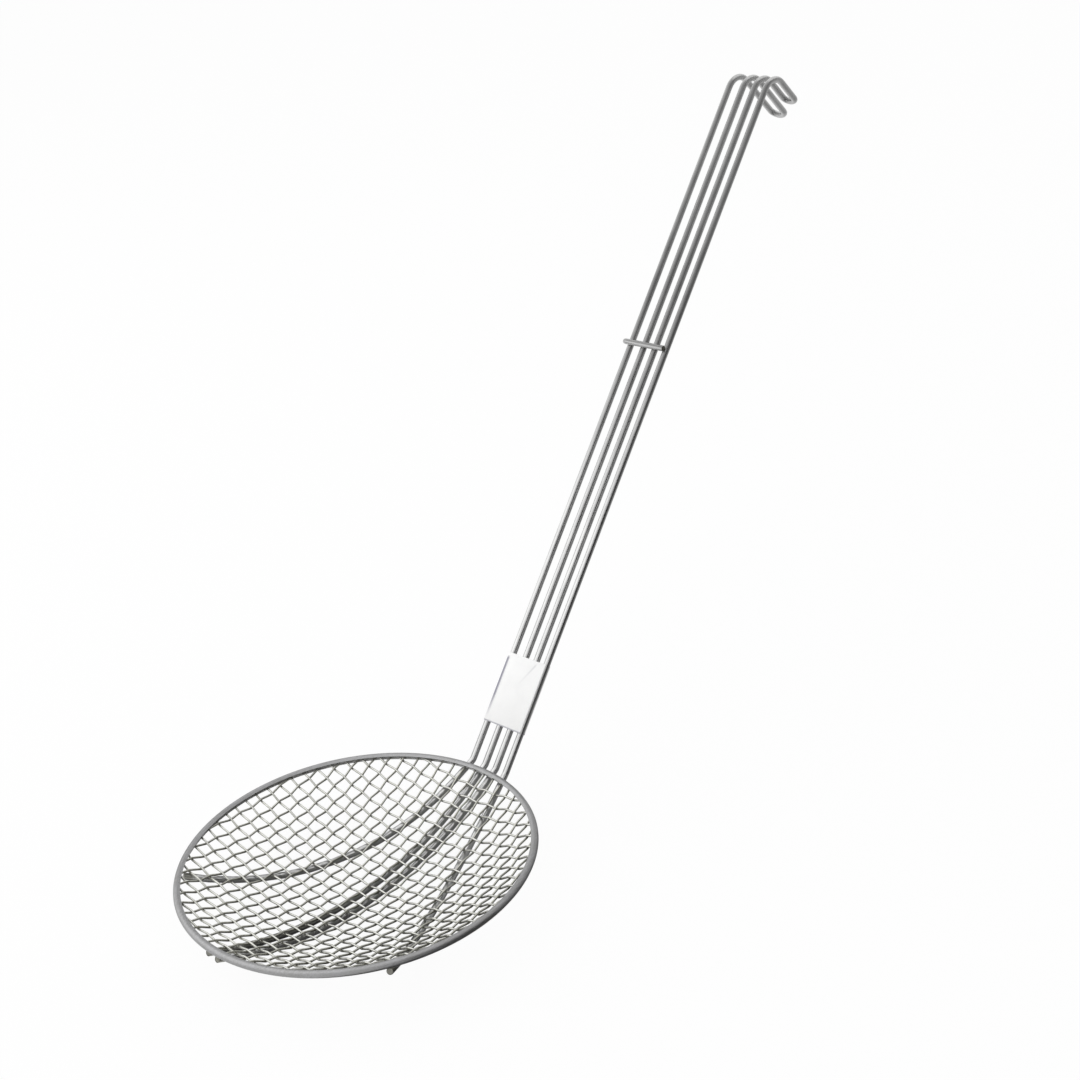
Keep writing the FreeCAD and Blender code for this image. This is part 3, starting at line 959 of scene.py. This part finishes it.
band_foot = leg_point(BAND_PLACE, LEFT_OUTER_LEG)
crease_start = leg_point(BAND_PLACE + BAND_LENGTH * 0.95, RIGHT_OUTER_LEG * 0.6)
crease_end = leg_point(BAND_PLACE + BAND_LENGTH * 0.6, 0)
crease_length = (crease_end - crease_start).length
crease_run = (crease_end - crease_start).normalized()

white_sheet, white_shader = surface("white_sheet")
sheet_place = white_sheet.place()
smudgy = {"Vector": sheet_place, "Scale": SMUDGES_PER_METRE, "Detail": 4}
smudges = white_sheet.add("ShaderNodeTexNoise", {}, smudgy)
grainy = {"Vector": sheet_place, "Scale": GRAINS_PER_METRE, "Detail": 2}
grain = white_sheet.add("ShaderNodeTexNoise", {}, grainy)

along_crease = white_sheet.along(sheet_place, crease_start, crease_run)
beside_crease = white_sheet.along(sheet_place, crease_start, crease_run.cross(to_front))
off_crease = beside_crease.maths("ABSOLUTE", beside_crease, 0)
crease_fading = along_crease.ramp(crease_length, 0) * along_crease.ramp(*CREASE_BEGINNING)
crease = off_crease.ramp(*CREASE_SIDE) * crease_fading

across_band = white_sheet.add("ShaderNodeSeparateXYZ", {}, {0: sheet_place}, "Y")
up_band = white_sheet.along(sheet_place, band_foot, up_leg)
shade_along_middle = up_band.ramp(*FOLD_SHADE_FROM_BELOW) * up_band.ramp(*FOLD_SHADE_FROM_ABOVE)
shade_round_fold = across_band.ramp(*SHADED_FOLD) * shade_along_middle
shade_on_band = shade_round_fold.larger(up_band.ramp(*SHADED_LOW_EDGE) * LOW_EDGE_SHADE)

# The crease takes painted shade in the colour as well as its relief.
smudges_and_crease_shade = smudges.ramp(0.4, 0.8) * 0.2 + crease * 0.8
white_before_fold_shade = white_sheet.mix(smudges_and_crease_shade, CLEAN_WHITE, SMUDGE_AND_SHADE_WHITE)
white_sheet.feed(white_shader.inputs["Base Color"], white_sheet.mix(shade_on_band, white_before_fold_shade, FOLD_SHADE_GREY))
white_sheet.feed(white_shader.inputs["Roughness"], 0.4 + smudges * 0.2)
paper_relief = {"Strength": 0.3, "Distance": GRAIN_DEPTH, "Height": grain * 0.4 + crease}
white_sheet.feed(white_shader.inputs["Normal"], white_sheet.add("ShaderNodeBump", {}, paper_relief))
print("crease from", tuple(round(number, 4) for number in crease_start), "length", round(crease_length, 4))

# %% [markdown]
# The band is the rim's section again, larger. A tube squeezed flat would close on the right, but
# the sheet's two ends lie apart there, so the U is turned to lie across the legs and its faces are
# drawn straight up along them.

# %% Fold the band
BAND_SHEET = 0.0005
BAND_OVERHANG = 0.0009
BAND_FOLDS = 10

band_flange = LEFT_OUTER_LEG - RIGHT_OUTER_LEG + BAND_OVERHANG
band = u_section(HANDLE_WIRE / 2 + SEAT_GAP, BAND_SHEET, band_flange, BAND_FOLDS)
across_legs = Matrix((LEFT, -up_leg, to_front)).transposed().to_4x4()
bmesh.ops.transform(band, matrix=Matrix.Translation(band_foot) @ across_legs, verts=band.verts)
drawn = bmesh.ops.extrude_face_region(band, geom=list(band.faces))["geom"]
drawn_end = [item for item in drawn if isinstance(item, bmesh.types.BMVert)]
bmesh.ops.translate(band, vec=up_leg * BAND_LENGTH, verts=drawn_end)
ease_sheet(band, BAND_SHEET)
band_piece = show_piece("white_band", band, white_sheet, "handle_band")
print(band_piece.name, len(band_piece.data.polygons), "faces")

# %% [markdown]
# ## The dressed object's box
#
# The dressed object should stay inside the CAD model's box, so its box is printed here, as the CAD model's
# box was at the start.

# %% Print the dressed object's box
print("visual box:", plain_box())
